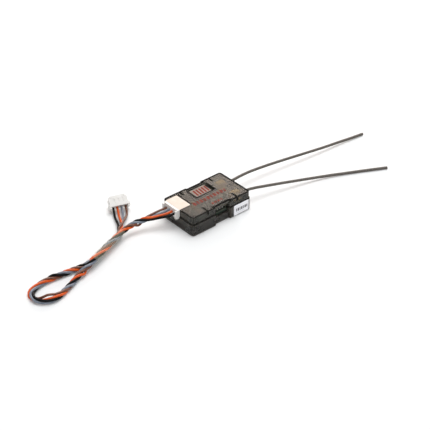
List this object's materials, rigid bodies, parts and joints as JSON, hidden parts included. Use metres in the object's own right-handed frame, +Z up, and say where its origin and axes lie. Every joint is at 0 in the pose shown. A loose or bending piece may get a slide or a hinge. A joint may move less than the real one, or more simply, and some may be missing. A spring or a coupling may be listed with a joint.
{
  "type": "radio-control receiver",
  "caption": "Small radio-control receiver: snap-together smoked case over a circuit board, coaxial aerials at one end and a folded multi-wire plug lead at the other.",
  "frame": {"origin": "Under the middle of the case, on the surface that the receiver lies on.", "axes": "+X along the case toward the aerial end, +Y toward the long side next to the top window, +Z up out of the top plate."},
  "size_m": [0.2016, 0.063, 0.01],
  "materials": {
    "smoked_case": "smoke-tinted see-through polycarbonate, moulded gloss",
    "badge_face": "pale warm-grey printed plate with red stripes",
    "label_white": "white coated paper label with small dark marks",
    "board_green": "green solder-masked glass-fibre laminate",
    "header_cream": "cream moulded nylon",
    "plug_white": "off-white moulded nylon",
    "contact_tin": "tin-plated sheet metal",
    "pin_tin": "tin-plated pin",
    "port_black": "dark moulded nylon",
    "can_tin": "drawn tinned lid",
    "chip_black": "black moulded chip package",
    "crystal_steel": "satin metal can",
    "capacitor_tan": "tan ceramic with tinned ends",
    "tantalum_yellow": "yellow moulded body",
    "resistor_black": "black glass-coated ceramic with tinned ends",
    "led_lens": "pale clear epoxy",
    "rf_gold": "gold-plated brass",
    "coax_jacket": "dark grey-brown coax jacket, satin",
    "wire_brown": "brown wire insulation, satin",
    "wire_grey": "blue-grey wire insulation, satin",
    "wire_orange": "orange wire insulation, satin",
    "wire_black": "black wire insulation, satin",
    "bundle_mixed": "four twisted insulated wires, shown as one round tube in the solid model",
    "sleeve_clear": "clear, slightly yellowed soft tube"
  },
  "bodies": {
    "root": {"bottom_shell": "smoked_case", "top_shell": "smoked_case", "badge_plate": "badge_face", "side_label": "label_white", "circuit_board": "board_green", "signal_header": "header_cream", "header_pins": "pin_tin", "accessory_port": "port_black", "accessory_port_pins": "pin_tin", "shield_can": "can_tin", "radio_chip": "chip_black", "microcontroller": "chip_black", "crystal": "crystal_steel", "voltage_regulator": "chip_black", "tantalum_capacitor": "tantalum_yellow", "chip_capacitors": "capacitor_tan", "chip_resistors": "resistor_black", "status_led": "led_lens", "antenna_plug_left": "rf_gold", "antenna_plug_right": "rf_gold", "antenna_left": "coax_jacket", "antenna_right": "coax_jacket", "receiver_plug": "plug_white", "receiver_plug_contacts": "contact_tin", "far_plug": "plug_white", "far_plug_contacts": "contact_tin", "lead_sleeve": "sleeve_clear", "lead_bundle": "bundle_mixed", "brown_wire_receiver_end": "wire_brown", "brown_wire_far_end": "wire_brown", "grey_wire_receiver_end": "wire_grey", "grey_wire_far_end": "wire_grey", "orange_wire_receiver_end": "wire_orange", "orange_wire_far_end": "wire_orange", "black_wire_receiver_end": "wire_black", "black_wire_far_end": "wire_black"}
  },
  "joints": []
}
